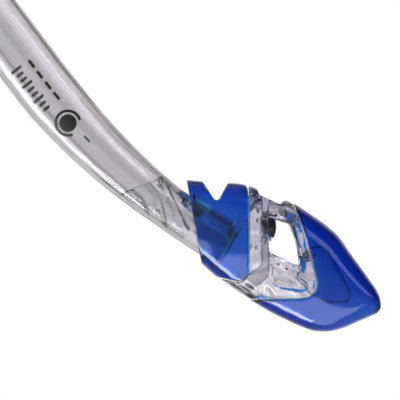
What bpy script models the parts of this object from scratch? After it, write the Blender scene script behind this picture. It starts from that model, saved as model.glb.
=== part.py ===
"""A dry snorkel, upright as it is worn: the air inlet at the top and the mouthpiece at the bottom.

The origin is on the barrel's axis, at the middle of the keeper that the mask strap holds.
+Z is up along the straight part of the barrel. The barrel bends back towards -X, the side
that the mouthpiece is on, and the XZ plane is the object's mirror plane, apart from the keeper.
Sizes are in millimetres here; MM turns them into Blender's metres.
"""

import math

import bmesh
import bpy
from mathutils import Matrix, Vector

MM = 0.001
GAP = 0.3  # between touching pieces

# Barrel
BARREL_BOTTOM = -50.0
BEND_START = 76.0  # height at which the straight barrel starts to bend
BEND_RADIUS = 350.0
BEND_ANGLE = math.radians(23.0)  # lean of the dry top from vertical
BARREL_DEPTH = 32.5  # fore-and-aft size of the oval barrel
BARREL_WIDTH = 24.0  # side-to-side size, and the diameter of its round top end
TAPER_START, TAPER_END = 92.0, 178.0  # the oval turns round between these arc lengths
WALL = 1.9

# Dry top, in its own frame: u is its depth (+u away from the mouthpiece side), w runs along it
TOP_ORIGIN = (-19.4, 0.0, 190.9)
TOP_SQUARENESS = 2.7  # exponent of the rounded section
KEEL_TAPER = 0.24  # how much narrower the section is at +u than at -u
# w, least u, greatest u, half width
TOP_STATIONS = [
    (-20.0, -16.0, 13.6, 15.6),
    (-13.0, -19.2, 14.2, 16.4),
    (0.0, -25.4, 15.2, 18.0),
    (16.0, -33.0, 16.5, 19.6),
    (27.0, -35.6, 18.7, 20.0),
    (45.0, -37.4, 20.4, 20.2),
    (60.0, -36.6, 20.8, 20.0),
    (72.0, -34.8, 20.2, 19.4),
    (86.0, -28.8, 18.6, 17.8),
    (95.0, -24.8, 14.8, 16.2),
    (101.0, -22.1, 9.6, 14.8),
    (108.0, -18.7, 0.6, 12.6),
    (112.0, -15.4, -4.8, 10.4),
    (114.0, -12.4, -7.6, 8.0),
]
GUARD_WALL = 1.9
CAP_WALL = 2.2
FRAME_WALL = 2.6
SOCKET_WALL = 2.0
SEAT_TILT = math.radians(31.0)
SEAT_CENTRE = (-19.3, 37.8)  # u, w
SEAT_WALL = 2.6
MOUTH_RADIUS = 6.6
PIVOT = (-29.2, 41.8)  # u, w of the valve's hinge
PIN_RADIUS = 1.2

# Keeper
KEEPER_HEIGHT = 22.0
STRAP_SLOT = (4.6, 26.0)  # gap, height

# Hose and mouth end
SPIGOT_RADIUS = 12.0
HOSE_TOP = -64.0
HOSE_CUFF = 14.0
HOSE_BEND_RADIUS = 110.0
HOSE_BEND = math.radians(30.0)
RIBS = 7
OUTLET_TILT = math.radians(15.0)
HOUSING_RADIUS = 15.0
HOUSING_LENGTH = 42.0
OUTLET_DROP = 18.0  # from the housing's top to the axis of its side outlet
SHIELD_CURVE = 0.003
PURGE_TRAVEL = 1.2

ROUND = 28  # sides of a large round section
SMALL_ROUND = 12


def clear_scene():
    for obj in list(bpy.data.objects):
        bpy.data.objects.remove(obj)


def make_material(name, colour, roughness, transmission=0.0):
    material = bpy.data.materials.new(name)
    material.use_nodes = True
    shader = material.node_tree.nodes["Principled BSDF"]
    shader.inputs["Base Color"].default_value = (*colour, 1.0)
    shader.inputs["Roughness"].default_value = roughness
    shader.inputs["Metallic"].default_value = 0.0
    shader.inputs["Transmission Weight"].default_value = transmission
    return material


def make_object(name, points, faces, material=None, parent=None):
    """A mesh object from points in millimetres, its faces turned outwards."""
    mesh = bpy.data.meshes.new(name)
    build = bmesh.new()
    corners = [build.verts.new(Vector(point) * MM) for point in points]
    for face in faces:
        build.faces.new([corners[index] for index in face])
    bmesh.ops.recalc_face_normals(build, faces=build.faces)
    build.to_mesh(mesh)
    build.free()
    mesh.shade_smooth()
    mesh.set_sharp_from_angle(angle=math.radians(35.0))
    obj = bpy.data.objects.new(name, mesh)
    bpy.context.scene.collection.objects.link(obj)
    obj.parent = parent
    if material is None:
        obj.hide_render = True
        obj.display_type = "WIRE"
    else:
        mesh.materials.append(material)
    return obj


def make_empty(name, location, lean, parent=None):
    """A frame at a point in millimetres, turned about Y so that its Z leans towards +X by lean."""
    empty = bpy.data.objects.new(name, None)
    bpy.context.scene.collection.objects.link(empty)
    empty.parent = parent
    empty.location = Vector(location) * MM
    empty.rotation_euler = (0.0, lean, 0.0)
    return empty


def combine(obj, other, operation):
    modifier = obj.modifiers.new(operation.lower() + "_" + other.name, "BOOLEAN")
    modifier.operation = operation
    modifier.solver = "EXACT"
    modifier.object = other


def cut(obj, *others):
    for other in others:
        combine(obj, other, "DIFFERENCE")


def join(obj, *others):
    for other in others:
        combine(obj, other, "UNION")


def skin_faces(rows, sides, closed):
    """Quads between each row of points and the next, and back to the first row if closed."""
    faces = []
    for row in range(rows if closed else rows - 1):
        low = row * sides
        high = ((row + 1) % rows) * sides
        for side in range(sides):
            after = (side + 1) % sides
            faces.append((low + side, low + after, high + after, high + side))
    return faces


def solid_loft(name, rings, material=None, parent=None):
    sides = len(rings[0])
    points = [point for ring in rings for point in ring]
    faces = skin_faces(len(rings), sides, closed=False)
    faces.append(tuple(range(sides)))
    faces.append(tuple(range((len(rings) - 1) * sides, len(rings) * sides)))
    return make_object(name, points, faces, material, parent)


def shell_loft(name, outer, inner, material=None, parent=None):
    """A tube with open ends: its outer rings, and its inner rings on the way back."""
    rings = outer + inner[::-1]
    points = [point for ring in rings for point in ring]
    faces = skin_faces(len(rings), len(rings[0]), closed=True)
    return make_object(name, points, faces, material, parent)


def power(value, exponent):
    return math.copysign(abs(value) ** exponent, value)


def oval(half_x, half_y, sides=ROUND, squareness=2.0, taper=0.0):
    """Points (x, y) of a superellipse, which taper makes narrower at +x."""
    points = []
    for side in range(sides):
        angle = 2 * math.pi * (side + 0.5) / sides
        x = power(math.cos(angle), 2 / squareness)
        y = power(math.sin(angle), 2 / squareness)
        points.append((half_x * x, half_y * y * (1 - taper * x)))
    return points


def turned(name, profile, material=None, parent=None, sides=ROUND, centre=(0.0, 0.0)):
    """A solid turned about Z, from (radius, height) points along its axis or round its hole."""
    closed = all(radius > 0 for radius, _ in profile)
    rings = []
    for radius, height in profile:
        ring = oval(max(radius, 0.001), max(radius, 0.001), sides)
        rings.append([(x + centre[0], y + centre[1], height) for x, y in ring])
    if closed:
        points = [point for ring in rings for point in ring]
        return make_object(name, points, skin_faces(len(rings), sides, True), material, parent)
    return solid_loft(name, rings, material, parent)


def cylinder(name, radius, low, high, parent=None, material=None, sides=ROUND):
    rings = [[(x, y, z) for x, y in oval(radius, radius, sides)] for z in (low, high)]
    return solid_loft(name, rings, material, parent)


def cross_rod(name, centre, radius, half_length, parent=None, material=None, sides=SMALL_ROUND):
    """A rod along Y through the point (x, z)."""
    ring = oval(radius, radius, sides)
    ends = (-half_length, half_length)
    rings = [[(centre[0] + x, y, centre[1] + z) for x, z in ring] for y in ends]
    return solid_loft(name, rings, material, parent)


def plate(name, outline, low, high, parent=None, material=None):
    """An outline of (x, z) points extruded along Y from low to high."""
    rings = [[(x, y, z) for x, z in outline] for y in (low, high)]
    return solid_loft(name, rings, material, parent)


def block(name, low, high, parent=None, material=None):
    outline = [(low[0], low[2]), (high[0], low[2]), (high[0], high[2]), (low[0], high[2])]
    return plate(name, outline, low[1], high[1], parent, material)


def read_table(table, key, column):
    """Smooth value of a column of the table at this key, with no overshoot between rows."""
    rows = [(row[0], row[column]) for row in table]
    if key <= rows[0][0]:
        return rows[0][1]
    if key >= rows[-1][0]:
        return rows[-1][1]
    place = max(i for i in range(len(rows) - 1) if rows[i][0] <= key)

    def chord(i):
        return (rows[i + 1][1] - rows[i][1]) / (rows[i + 1][0] - rows[i][0])

    def slope(i):
        if i == 0 or i == len(rows) - 1:
            return chord(min(i, len(rows) - 2))
        before, after = chord(i - 1), chord(i)
        return 0.0 if before * after <= 0 else 2 * before * after / (before + after)

    (key_0, value_0), (key_1, value_1) = rows[place], rows[place + 1]
    span = key_1 - key_0
    t = (key - key_0) / span
    rise = (value_1 - value_0) * (3 * t**2 - 2 * t**3)
    return value_0 + rise + span * (
        slope(place) * (t**3 - 2 * t**2 + t) + slope(place + 1) * (t**3 - t**2)
    )


# --- barrel -------------------------------------------------------------------------------


def barrel_frame(length):
    """Centre and lean of the barrel's axis at this distance above the keeper."""
    angle = max(0.0, length - BEND_START) / BEND_RADIUS
    height = min(length, BEND_START) + BEND_RADIUS * math.sin(angle)
    return Vector((-BEND_RADIUS * (1 - math.cos(angle)), 0.0, height)), angle


def barrel_ring(length, inset=0.0):
    centre, angle = barrel_frame(length)
    share = (length - TAPER_START) / (TAPER_END - TAPER_START)
    share = min(1.0, max(0.0, share))
    depth = BARREL_DEPTH + (BARREL_WIDTH - BARREL_DEPTH) * share
    across = Vector((math.cos(angle), 0.0, math.sin(angle)))
    section = oval(depth / 2 - inset, BARREL_WIDTH / 2 - inset)
    return [centre + across * x + Vector((0.0, y, 0.0)) for x, y in section]


def barrel_stations(low, high, count):
    return [low + (high - low) * i / (count - 1) for i in range(count)]


def make_barrel(clear):
    top = BEND_START + BEND_RADIUS * BEND_ANGLE
    stations = [BARREL_BOTTOM, *barrel_stations(BEND_START, top, 9)]
    outer = [barrel_ring(s) for s in stations]
    inner = [barrel_ring(s, WALL) for s in stations]
    shell_loft("main_tube", outer, inner, clear)
    sleeve = barrel_stations(top - 64.0, top - 0.5, 4)
    outer = [barrel_ring(s, WALL + GAP) for s in sleeve]
    inner = [barrel_ring(s, WALL + GAP + 1.2) for s in sleeve]
    shell_loft("coupling_sleeve", outer, inner, clear)


# --- dry top ------------------------------------------------------------------------------


def top_ring(w, inset):
    least = read_table(TOP_STATIONS, w, 1) + inset
    most = read_table(TOP_STATIONS, w, 2) - inset
    half = read_table(TOP_STATIONS, w, 3) - inset
    middle = (least + most) / 2
    section = oval((most - least) / 2, half, 28, TOP_SQUARENESS, KEEL_TAPER)
    return [(middle + x, y, w) for x, y in section]


def top_form(name, inset, parent, low=-20.0):
    """The dry top's outer form, drawn in by inset."""
    high = TOP_STATIONS[-1][0] - inset
    heights = [w for w in (row[0] for row in TOP_STATIONS) if low <= w < high - 1.0]
    heights = sorted({low, *heights, 36.0, high})
    return solid_loft(name, [top_ring(w, inset) for w in heights], None, parent)


# The seam between the clear frame and the cap, as (u, w) points from the -u side to the keel
SEAM = [
    (-41.0, 39.5),
    (-24.7, 59.3),
    (-10.4, 72.7),
    (-5.6, 77.4),
    (-1.5, 78.6),
    (3.0, 77.2),
    (6.2, 73.4),
    (19.8, 51.0),
    (24.0, 44.1),
]
# The splash guard's outline, with the V that drains it
GUARD_OUTLINE = [
    (-27.0, -19.7),
    (20.0, 19.8),
    (21.5, 27.0),
    (18.8, 27.5),
    (14.8, 39.2),
    (12.9, 41.0),
    (10.3, 41.4),
    (6.6, 40.4),
    (-31.5, 18.4),
    (-33.3, 15.8),
    (-38.0, 15.0),
    (-38.0, 7.2),
    (-18.4, 7.7),
    (-17.2, 5.7),
    (-27.0, -13.3),
]
# The frame under the guard
FRAME_ROOT = [
    (-15.0, -7.0),
    (14.2, 17.4),
    (15.8, 20.0),
    (17.0, 30.0),
    (12.0, 44.0),
    (-31.0, 21.0),
    (-30.0, 17.0),
    (-21.0, 11.0),
    (-15.6, 3.0),
]
# Where the frame under the guard is full width; below this it is only a wall round the barrel
SHOULDER = [(-40.0, 16.5), (-27.0, 20.8), (24.0, 20.8), (24.0, 52.0), (-40.0, 52.0)]
# The frame where it shows, between guard and cap: the strut, the rim and the keel
FRAME_OUTLINE = [
    (-33.2, 18.0),
    (-34.6, 20.5),
    (-33.8, 23.5),
    (-31.8, 25.2),
    (-33.1, 38.4),
    (-35.4, 38.4),
    (-37.1, 40.2),
    (-37.4, 43.2),
    (-24.5, 58.8),
    (-10.2, 72.2),
    (-5.4, 76.9),
    (-1.5, 78.1),
    (2.7, 76.8),
    (5.8, 73.1),
    (19.4, 50.7),
    (24.0, 43.2),
    (24.0, 28.2),
    (19.4, 28.2),
    (15.2, 39.5),
    (13.1, 41.5),
    (10.3, 41.9),
    (6.5, 40.9),
    (-31.6, 19.0),
]
WINDOW = [(-23.4, 35.3), (-25.7, 47.6), (-24.9, 49.2), (-10.8, 61.4), (-9.0, 60.4), (-8.0, 45.2)]
# The room that the valve swings in, from one end of the seat round to its other end
VALVE_ROOM = [
    (3.8, 51.7),
    (11.0, 48.0),
    (15.5, 46.5),
    (17.6, 50.0),
    (26.0, 92.0),
    (-36.0, 92.0),
    (-34.6, 46.5),
    (-33.6, 41.5),
    (-31.9, 39.2),
    (-30.5, 35.0),
]
# The air chamber between the barrel's end and the seat, from the seat's underside round
CHAMBER = [
    (8.6, 43.0),
    (12.5, 36.0),
    (14.0, 30.0),
    (12.8, 26.5),
    (9.0, 25.6),
    (-27.0, 25.6),
    (-28.4, 28.5),
]
FLOAT_OUTLINE = [
    (-21.0, 63.5),
    (-25.3, 69.0),
    (-24.8, 73.0),
    (-16.8, 86.5),
    (-10.8, 96.0),
    (-5.5, 97.0),
    (0.5, 88.0),
    (2.0, 76.0),
    (-4.0, 66.5),
    (-12.0, 62.5),
]
# The lever on one side of its pin, from the seal's ring up to the float, and back on the other
LEVER_INNER = [
    (-27.0, 36.7),
    (-27.2, 38.6),
    (-27.0, 43.6),
    (-26.3, 48.6),
    (-20.5, 55.0),
    (-13.9, 61.0),
    (-13.7, 66.5),
]
LEVER_OUTER = [
    (-17.6, 67.5),
    (-20.2, 60.6),
    (-24.2, 57.4),
    (-29.8, 50.2),
    (-31.2, 43.4),
    (-31.0, 40.6),
    (-29.7, 37.4),
]
FLOAT_NOTCH = [(-22.0, 59.0), (-12.0, 59.0), (-12.9, 67.2), (-18.3, 68.4)]


def seat_point(along, above):
    """(u, w) of a point near the seat: along its plane towards the keel, and above it."""
    u = SEAT_CENTRE[0] + along * math.cos(SEAT_TILT) - above * math.sin(SEAT_TILT)
    return u, SEAT_CENTRE[1] + along * math.sin(SEAT_TILT) + above * math.cos(SEAT_TILT)


def make_guard(top, blue):
    guard = top_form("splash_guard", 0.0, top)
    guard.hide_render = False
    guard.display_type = "TEXTURED"
    guard.data.materials.append(blue)
    cut(guard, top_form("guard_hollow", GUARD_WALL, top, -24.0))
    combine(guard, plate("guard_outline", GUARD_OUTLINE, -30, 30, top), "INTERSECT")


def make_cap(top, blue):
    cap = top_form("top_cap", 0.0, top)
    cap.hide_render = False
    cap.display_type = "TEXTURED"
    cap.data.materials.append(blue)
    cut(cap, top_form("cap_hollow", CAP_WALL, top, -24.0))
    edge = [*SEAM, (30.0, 120.0), (-46.0, 120.0)]
    combine(cap, plate("cap_outline", edge, -30, 30, top), "INTERSECT")


def make_frame(top, seat, clear):
    """The clear frame: socket for the barrel, airway, valve seat, struts and cap rim."""
    frame = top_form("dry_top_frame", 0.4, top)
    frame.hide_render = False
    frame.display_type = "TEXTURED"
    frame.data.materials.append(clear)
    combine(frame, plate("frame_outline", FRAME_OUTLINE, -30, 30, top), "INTERSECT")
    end = BEND_START + BEND_RADIUS * BEND_ANGLE
    lengths = barrel_stations(end - 55.0, end + GAP, 6)
    root = top_form("frame_root", GUARD_WALL + GAP, top)
    sleeve = solid_loft("socket_wall", [barrel_ring(s, -GAP - SOCKET_WALL) for s in lengths])
    join(sleeve, plate("shoulder", SHOULDER, -30, 30, top))
    combine(root, sleeve, "INTERSECT")
    combine(root, plate("root_outline", FRAME_ROOT, -30, 30, top), "INTERSECT")
    join(frame, root)
    room = top_form("valve_room", FRAME_WALL + 0.4, top)
    outline = [seat_point(-12.0, 0.0), *VALVE_ROOM]
    combine(room, plate("room_outline", outline, -30, 30, top), "INTERSECT")
    chamber = top_form("air_chamber", GUARD_WALL + GAP + FRAME_WALL, top)
    outline = [seat_point(-10.5, -SEAT_WALL), seat_point(20.0, -SEAT_WALL), *CHAMBER]
    combine(chamber, plate("chamber_outline", outline, -30, 30, top), "INTERSECT")
    socket = solid_loft("barrel_socket", [barrel_ring(s, -GAP) for s in lengths])
    throat = solid_loft("throat", [barrel_ring(s, WALL + 0.5) for s in (end - 3.0, end + 4.0)])
    cut(
        frame,
        room,
        chamber,
        socket,
        throat,
        plate("window", WINDOW, -30, 30, top),
        cylinder("mouth", MOUTH_RADIUS, -6.0, 4.0, seat),
        cross_rod("pin_hole", PIVOT, PIN_RADIUS + GAP, 30.0, top),
    )


def from_pivot(points):
    """Points of the dry top, measured from the valve's pivot."""
    return [(u - PIVOT[0], w - PIVOT[1]) for u, w in points]


def make_float(pivot, pale):
    body = plate("float_body", from_pivot(FLOAT_OUTLINE), -9.0, 9.0, pivot, pale)
    bevel = body.modifiers.new("soft_edges", "BEVEL")
    bevel.width = 1.2 * MM
    bevel.segments = 2
    bevel.limit_method = "ANGLE"
    cut(body, plate("float_notch", from_pivot(FLOAT_NOTCH), -3.3, 3.3, pivot))


def make_lever(pivot, clear):
    """The lever: a ring that holds the seal, a hub on the pin, and an arm up to the float."""
    foot = [seat_point(-8.8, 1.2), seat_point(-7.0, 1.2), seat_point(-7.2, 2.2)]
    outline = from_pivot([*foot, *LEVER_INNER, *LEVER_OUTER])
    lever = plate("float_lever", outline, -3.0, 3.0, pivot, clear)
    closed = from_pivot([SEAT_CENTRE])[0]
    ring_frame = make_empty("ring_frame", (closed[0], 0.0, closed[1]), -SEAT_TILT, pivot)
    ring = turned("seal_ring", [(6.3, 1.2), (8.4, 1.2), (8.4, 2.2), (6.3, 2.2)], None, ring_frame)
    join(lever, ring, cross_rod("lever_hub", (0.0, 0.0), 2.4, 8.0, pivot))
    cut(lever, cross_rod("lever_bore", (0.0, 0.0), PIN_RADIUS + GAP, 20.0, pivot))


def make_seal(seat, black):
    """The domed seal: a plug in the mouth, a lip on the seat, and a groove round the ring."""
    profile = [
        (0.0, -1.8),
        (4.4, -1.8),
        (5.6, 0.0),
        (7.8, GAP),
        (7.8, 0.9),
        (6.0, 0.9),
        (6.0, 2.5),
        (6.8, 2.5),
        (6.3, 3.5),
        (5.0, 4.4),
        (3.0, 4.9),
        (0.0, 5.1),
    ]
    turned("valve_seal", profile, black, seat, 24)


def make_dry_top(clear, blue, black, pale, steel):
    top = make_empty("dry_top", TOP_ORIGIN, -BEND_ANGLE)
    seat = make_empty("valve_seat", (SEAT_CENTRE[0], 0.0, SEAT_CENTRE[1]), -SEAT_TILT, top)
    pivot = make_empty("valve_pivot", (PIVOT[0], 0.0, PIVOT[1]), 0.0, top)
    make_frame(top, seat, clear)
    make_guard(top, blue)
    make_cap(top, blue)
    make_float(pivot, pale)
    make_lever(pivot, clear)
    make_seal(seat, black)
    cross_rod("hinge_pin", PIVOT, PIN_RADIUS, 17.2, top, steel)


# --- keeper -------------------------------------------------------------------------------


def make_keeper(blue, black):
    """The clip that grips the barrel, and the buckle on it that the mask strap runs through."""
    clip_gap, clip_wall, half = 0.4, 2.3, KEEPER_HEIGHT / 2
    rings = []
    for extra in (clip_gap + clip_wall, clip_gap):
        section = oval(BARREL_DEPTH / 2 + extra, BARREL_WIDTH / 2 + extra)
        rings.append([[(x, y, z) for x, y in section] for z in (-half, half)])
    clip = shell_loft("keeper_clip", rings[0], rings[1], blue)
    back = BARREL_WIDTH / 2 + clip_gap + clip_wall
    pad = block("keeper_pad", (-9.0, back - 1.2, -8.0), (9.0, back + 1.6, 8.0))
    join(clip, pad)
    cut(clip, block("clip_mouth", (-8.0, -20.0, -30.0), (8.0, -6.0, 30.0)))
    near = back + 1.6 + GAP
    gap, height = STRAP_SLOT
    far = near + 2.2 + gap
    tall = height / 2 + 3.0
    buckle = block("strap_buckle", (-12.0, near, -tall), (12.0, far + 2.4, tall), None, black)
    slot = block("strap_slot", (-30.0, near + 2.2, -height / 2), (30.0, far, height / 2))
    cut(buckle, slot)
    edges = buckle.modifiers.new("soft_edges", "BEVEL")
    edges.width = 0.8 * MM
    edges.segments = 2
    edges.limit_method = "ANGLE"


# --- hose and mouth end -------------------------------------------------------------------


def make_end_collar(blue):
    """The moulding under the barrel: an oval socket, and the spigot that the hose turns on."""
    levels = [
        (BARREL_BOTTOM + 14.0, 2.2),
        (BARREL_BOTTOM - 4.0, 2.6),
    ]
    outer = []
    for z, extra in levels:
        section = oval(BARREL_DEPTH / 2 + extra, BARREL_WIDTH / 2 + extra)
        outer.append([(x, y, z) for x, y in section])
    for z, radius in ((HOSE_TOP + 4.0, 15.0), (HOSE_TOP + 1.0, 14.6), (HOSE_TOP + 1.0, 12.0)):
        outer.append([(x, y, z) for x, y in oval(radius, radius)])
    spigot_end = HOSE_TOP - HOSE_CUFF + 1.0
    outer.append([(x, y, spigot_end) for x, y in oval(SPIGOT_RADIUS, SPIGOT_RADIUS)])
    inner = []
    seat_height = BARREL_BOTTOM - GAP
    for z, extra in ((BARREL_BOTTOM + 14.0, GAP), (seat_height, GAP), (seat_height, -WALL)):
        section = oval(BARREL_DEPTH / 2 + extra, BARREL_WIDTH / 2 + extra)
        inner.append([(x, y, z) for x, y in section])
    for z in (HOSE_TOP + 2.0, spigot_end):
        inner.append([(x, y, z) for x, y in oval(10.0, 10.0)])
    shell_loft("barrel_end_collar", outer, inner, blue)


def hose_ring(length, radius, sides=20):
    """A ring round the hose's path, at this distance below its top."""
    bend = min(max(length - HOSE_CUFF, 0.0), HOSE_BEND_RADIUS * HOSE_BEND)
    angle = bend / HOSE_BEND_RADIUS
    straight = length - bend
    before = min(length, HOSE_CUFF)
    after = straight - before
    ahead = Vector((-math.sin(angle), 0.0, -math.cos(angle)))
    centre = Vector((-HOSE_BEND_RADIUS * (1 - math.cos(angle)), 0.0, HOSE_TOP - before))
    centre += Vector((0.0, 0.0, -HOSE_BEND_RADIUS * math.sin(angle))) + ahead * after
    across = Vector((math.cos(angle), 0.0, -math.sin(angle)))
    return [centre + across * x + Vector((0.0, y, 0.0)) for x, y in oval(radius, radius, sides)]


def make_hose(silicone, blue):
    """The ribbed hose, moulded with a bend, and the two bands that hold its cuffs."""
    bore = SPIGOT_RADIUS + GAP
    wall = 1.8
    bend_length = HOSE_BEND_RADIUS * HOSE_BEND
    total = bend_length + 2 * HOSE_CUFF
    profile = [(0.0, bore), (HOSE_CUFF, bore)]
    pitch = bend_length / RIBS
    for rib in range(RIBS):
        start = HOSE_CUFF + rib * pitch
        profile += [(start + 0.3 * pitch, bore + 1.9), (start + 0.6 * pitch, bore + 1.9)]
        profile.append((start + 0.9 * pitch, bore - 0.9))
    profile += [(total - HOSE_CUFF + 0.2, bore), (total, bore)]
    outer = [hose_ring(s, radius + wall) for s, radius in profile]
    inner = [hose_ring(s, radius) for s, radius in profile]
    shell_loft("flex_hose", outer, inner, silicone)
    band_in, band_out = bore + wall + GAP, bore + wall + GAP + 1.9
    for name, start in (("hose_band_upper", 2.0), ("hose_band_lower", total - 10.0)):
        stations = (start, start + 8.0)
        outer = [hose_ring(s, band_out, ROUND) for s in stations]
        inner = [hose_ring(s, band_in, ROUND) for s in stations]
        shell_loft(name, outer, inner, blue)
    end = hose_ring(total, 1.0)
    return sum(end, Vector()) / len(end)


def make_housing(mouth, outlet, clear, blue, silicone):
    """The purge housing, its valve seat, diaphragm and slotted cover, along the mouth frame's Z."""
    radius, bottom = HOUSING_RADIUS, -HOUSING_LENGTH
    profile = [
        (10.2, HOSE_CUFF - 1.0),
        (SPIGOT_RADIUS, HOSE_CUFF - 1.0),
        (SPIGOT_RADIUS, -GAP),
        (radius, -2.5),
        (radius, bottom),
        (radius - 2.0, bottom),
        (radius - 2.0, -5.0),
        (10.2, -1.5),
    ]
    housing = turned("purge_housing", profile, clear, mouth)
    branch = turned(
        "outlet_branch",
        [(9.4, 8.0), (11.4, 8.0), (11.4, 35.0), (9.4, 35.0)],
        None,
        outlet,
    )
    keep_bore = cylinder("bore_keeper", radius - 2.0, -38.0, -4.0, mouth)
    cut(branch, keep_bore)
    join(housing, branch)
    cut(housing, cylinder("outlet_bore", 9.4, 4.0, 50.0, outlet))
    seat_top = bottom + 4.6
    rim = radius - 2.0 - GAP
    seat = turned(
        "purge_seat",
        [
            (8.6, seat_top - 1.8),
            (rim - 0.9, seat_top - 1.8),
            (rim - 0.9, bottom),
            (rim, bottom),
            (rim, seat_top),
            (8.6, seat_top),
        ],
        clear,
        mouth,
    )
    bars = block("seat_bar_x", (-9.4, -1.1, seat_top - 1.6), (9.4, 1.1, seat_top - 0.1), mouth)
    cross = block("seat_bar_y", (-1.1, -9.4, seat_top - 1.7), (1.1, 9.4, seat_top - 0.2), mouth)
    hub = cylinder("seat_hub", 3.4, seat_top - 1.75, seat_top - 0.05, mouth, None, SMALL_ROUND)
    join(seat, bars, cross, hub)
    cut(seat, cylinder("hub_bore", 1.9, seat_top - 9.0, seat_top + 9.0, mouth, None, SMALL_ROUND))
    disc = seat_top - 1.8 - GAP
    turned(
        "purge_diaphragm",
        [
            (0.0, disc - 0.9),
            (11.2, disc - 0.7),
            (11.4, disc),
            (1.5, disc),
            (1.5, seat_top + PURGE_TRAVEL + 0.3),
            (2.7, seat_top + PURGE_TRAVEL + 0.5),
            (2.2, seat_top + PURGE_TRAVEL + 2.2),
            (0.0, seat_top + PURGE_TRAVEL + 2.6),
        ],
        silicone,
        mouth,
        24,
    )
    skirt = radius + GAP
    cover = turned(
        "purge_cover",
        [
            (0.0, bottom - 4.6),
            (skirt - 1.0, bottom - 4.6),
            (skirt + 1.8, bottom - 2.4),
            (skirt + 1.8, bottom + 5.0),
            (skirt, bottom + 5.0),
            (skirt, bottom - GAP),
            (radius - 3.0, bottom - GAP),
            (radius - 3.0, bottom - 2.6),
            (0.0, bottom - 2.6),
        ],
        blue,
        mouth,
    )
    for index in range(-2, 3):
        middle = index * 4.6
        reach = math.sqrt((radius - 3.4) ** 2 - middle**2)
        slot = block(
            f"cover_slot_{index + 2}",
            (-reach, middle - 1.3, bottom - 9.0),
            (reach, middle + 1.3, bottom - 1.4),
            mouth,
        )
        cut(cover, slot)


def make_mouthpiece(outlet, silicone, black):
    """The bite piece and the tie that holds its neck on the housing's outlet."""
    rows = [
        # distance, outer half height, outer half width, inner half height, inner half width
        (20.4, 13.6, 13.6, 11.7, 11.7),
        (35.4, 13.6, 13.6, 11.7, 11.7),
        (35.8, 13.4, 13.8, 9.2, 10.0),
        (46.0, 9.0, 17.5, 6.4, 14.9),
        (56.0, 8.2, 17.0, 5.6, 14.4),
    ]
    outer, inner = [], []
    for z, outer_tall, outer_wide, inner_tall, inner_wide in rows:
        outer.append([(x, y, z) for x, y in oval(outer_tall, outer_wide)])
        inner.append([(x, y, z) for x, y in oval(inner_tall, inner_wide)])
    piece = shell_loft("mouthpiece", outer, inner, silicone, outlet)
    shield_rows = [(47.0, 12.0, 27.0), (49.0, 13.5, 29.0), (50.4, 13.0, 28.5)]
    rings = []
    for z, tall, wide in shield_rows:
        section = oval(tall, wide, ROUND, 2.6)
        rings.append([(x, y, z - SHIELD_CURVE * y * y) for x, y in section])
    shield = solid_loft("lip_shield", rings, None, outlet)
    passage = solid_loft(
        "shield_passage",
        [[(x, y, z) for x, y in oval(5.7, 14.5)] for z in (30.0, 60.0)],
        None,
        outlet,
    )
    cut(shield, passage)
    join(piece, shield)
    for name, side in (("left", 1.0), ("right", -1.0)):
        inner_y, outer_y = side * 9.0, side * 21.0
        low_y, high_y = min(inner_y, outer_y), max(inner_y, outer_y)
        for part, x_low, x_high, z_low, z_high in (
            ("stem", -1.6, 1.6, 53.5, 66.0),
            ("ridge", -4.4, 4.4, 64.0, 67.5),
        ):
            low = (x_low, low_y, z_low)
            high = (x_high, high_y, z_high)
            tab = block(f"bite_{part}_{name}", low, high, outlet)
            join(piece, tab)
    profile = [(13.9, 24.0), (15.0, 24.0), (15.0, 28.5), (13.9, 28.5)]
    tie = turned("mouthpiece_tie", profile, black, outlet)
    head = block("tie_head", (14.4, -3.4, 23.4), (18.0, 3.4, 29.1), outlet)
    join(tie, head)


def make_mouth_end(clear, blue, silicone, black):
    end = make_hose(silicone, blue)
    mouth = make_empty("mouth_end", tuple(end), HOSE_BEND)
    outlet_lean = -(math.pi / 2 + OUTLET_TILT)
    outlet = make_empty("outlet", (0.0, 0.0, -OUTLET_DROP), outlet_lean, mouth)
    make_housing(mouth, outlet, clear, blue, silicone)
    make_mouthpiece(outlet, silicone, black)


def main():
    clear_scene()
    clear = make_material("clear_plastic", (0.92, 0.93, 0.95), 0.08, 0.9)
    blue = make_material("blue_plastic", (0.05, 0.16, 0.72), 0.12, 0.6)
    black = make_material("black_rubber", (0.03, 0.03, 0.035), 0.45)
    pale = make_material("float_foam", (0.85, 0.87, 0.9), 0.6)
    steel = make_material("steel", (0.6, 0.62, 0.65), 0.25)
    silicone = make_material("silicone", (0.75, 0.8, 0.86), 0.35, 0.4)
    make_barrel(clear)
    make_dry_top(clear, blue, black, pale, steel)
    make_keeper(blue, black)
    make_end_collar(blue)
    make_mouth_end(clear, blue, silicone, black)


main()
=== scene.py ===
"""Finished look of the dry snorkel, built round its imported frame.

Sizes are in millimetres in the shape code; MM turns them into metres. Each visible piece stands
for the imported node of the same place, with finer geometry, and rides on that node's body.
"""

import math

import bmesh
import bpy
from mathutils import Matrix, Vector


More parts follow.
